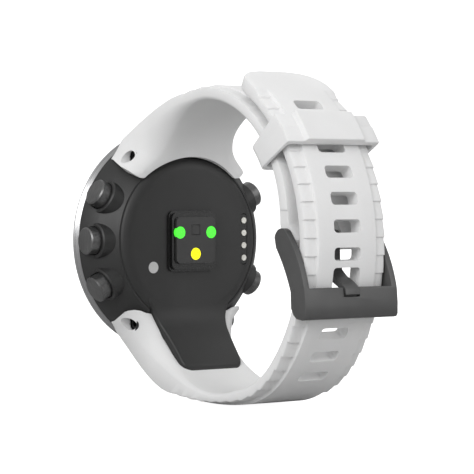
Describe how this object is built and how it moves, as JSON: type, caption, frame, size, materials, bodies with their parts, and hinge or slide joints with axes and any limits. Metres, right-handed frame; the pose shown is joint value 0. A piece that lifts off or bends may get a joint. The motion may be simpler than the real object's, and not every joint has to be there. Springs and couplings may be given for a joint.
{
  "type": "gps running watch",
  "caption": "Round five-button running watch on a closed two-piece silicone strap, with a back heart-rate sensor and charging contacts.",
  "frame": {"origin": "on the wrist's axis, 22 mm behind the flat back of the case, level with the dial's centre", "axes": "+Y out through the dial, +Z towards 12 o'clock, -X towards 3 o'clock, X along the wrist"},
  "size_m": [0.046, 0.0641, 0.0655],
  "materials": {
    "case_polymer": "moulded, fine matt texture",
    "bezel_steel": "turned and brushed",
    "crystal_glass": "polished",
    "display_film": "smooth",
    "black_plastic": "moulded, semi-gloss",
    "window_glass": "polished",
    "green_lens": "clear lens over a lit lamp",
    "amber_lens": "clear lens over a lit lamp",
    "circuit_board": "solder mask",
    "chip_epoxy": "moulded",
    "battery_foil": "foil pouch",
    "seal_rubber": "moulded",
    "screw_steel": "machined",
    "button_steel": "dark plated, brushed faces",
    "weight_metal": "sintered tungsten",
    "contact_gold": "plated",
    "vent_membrane": "sintered disc",
    "strap_silicone": "moulded silicone, matt",
    "buckle_steel": "dark plated, brushed"
  },
  "bodies": {
    "case": {"mid_case": "case_polymer", "back_cover": "case_polymer", "bezel": "bezel_steel", "crystal": "crystal_glass", "sensor_frame": "black_plastic", "sensor_window": "window_glass", "strap_short": "strap_silicone", "strap_long": "strap_silicone", "back_gasket": "seal_rubber", "back_screws": "screw_steel", "crystal_gasket": "seal_rubber", "display_panel": "display_film", "dial_ring": "black_plastic", "carrier_frame": "case_polymer", "main_board": "circuit_board", "board_chips": "chip_epoxy", "battery": "battery_foil", "motor_case": "case_polymer", "gps_antenna": "contact_gold", "beeper_disc": "black_plastic", "sensor_board": "circuit_board", "button_tubes": "screw_steel", "button_switches": "black_plastic", "green_leds": "green_lens", "amber_led": "amber_lens", "photodiode": "window_glass", "charge_pins": "contact_gold", "contact_insert": "black_plastic", "vent_plug": "vent_membrane", "strap_bushes": "screw_steel", "strap_screws": "screw_steel", "spring_bar_tube": "screw_steel", "spring_bar_tips": "screw_steel", "spring_bar_spring": "screw_steel", "motor_shaft": "screw_steel", "light_button_spring": "screw_steel", "up_button_spring": "screw_steel", "down_button_spring": "screw_steel", "start_button_spring": "screw_steel", "back_button_spring": "screw_steel"},
    "light_key": {"light_button": "button_steel", "light_button_seal": "seal_rubber", "light_button_clip": "screw_steel"},
    "up_key": {"up_button": "button_steel", "up_button_seal": "seal_rubber", "up_button_clip": "screw_steel"},
    "down_key": {"down_button": "button_steel", "down_button_seal": "seal_rubber", "down_button_clip": "screw_steel"},
    "start_key": {"start_button": "button_steel", "start_button_seal": "seal_rubber", "start_button_clip": "screw_steel"},
    "back_key": {"back_button": "button_steel", "back_button_seal": "seal_rubber", "back_button_clip": "screw_steel"},
    "buckle": {"buckle_frame": "buckle_steel"},
    "prong": {"buckle_tongue": "buckle_steel"},
    "strap_keeper": {"keeper": "strap_silicone"},
    "rotor": {"motor_weight": "weight_metal"}
  },
  "joints": [
    {"name": "light_press", "type": "slide", "parent": "case", "child": "light_key", "axis": [0.8988, 0, -0.4384], "range_m": [0, 0.0006], "stiffness_N_per_m": 800, "springref_m": -0.0006, "deforming": ["light_button_spring"]},
    {"name": "up_press", "type": "slide", "parent": "case", "child": "up_key", "axis": [1, 0, 0], "range_m": [0, 0.0006], "stiffness_N_per_m": 800, "springref_m": -0.0006, "deforming": ["up_button_spring"]},
    {"name": "down_press", "type": "slide", "parent": "case", "child": "down_key", "axis": [0.8988, 0, 0.4384], "range_m": [0, 0.0006], "stiffness_N_per_m": 800, "springref_m": -0.0006, "deforming": ["down_button_spring"]},
    {"name": "start_press", "type": "slide", "parent": "case", "child": "start_key", "axis": [-0.8988, 0, -0.4384], "range_m": [0, 0.0006], "stiffness_N_per_m": 800, "springref_m": -0.0006, "deforming": ["start_button_spring"]},
    {"name": "back_press", "type": "slide", "parent": "case", "child": "back_key", "axis": [-0.8988, 0, 0.4384], "range_m": [0, 0.0006], "stiffness_N_per_m": 800, "springref_m": -0.0006, "deforming": ["back_button_spring"]},
    {"name": "buckle_swing", "type": "hinge", "parent": "case", "child": "buckle", "pos_m": [0, -0.0225, 0.0009], "axis": [-1, 0, 0], "range_deg": [0, 3]},
    {"name": "prong_lift", "type": "hinge", "parent": "buckle", "child": "prong", "pos_m": [0, -0.0225, 0.0009], "axis": [-1, 0, 0], "range_deg": [0, 4]},
    {"name": "keeper_slide", "type": "hinge", "parent": "case", "child": "strap_keeper", "pos_m": [0, 0.00765, -0.00015], "axis": [1, 0, 0], "range_deg": [-6, 5]},
    {"name": "motor_spin", "type": "hinge", "parent": "case", "child": "rotor", "pos_m": [0, 0.0272, -0.012], "axis": [0, 1, 0], "continuous": true}
  ]
}
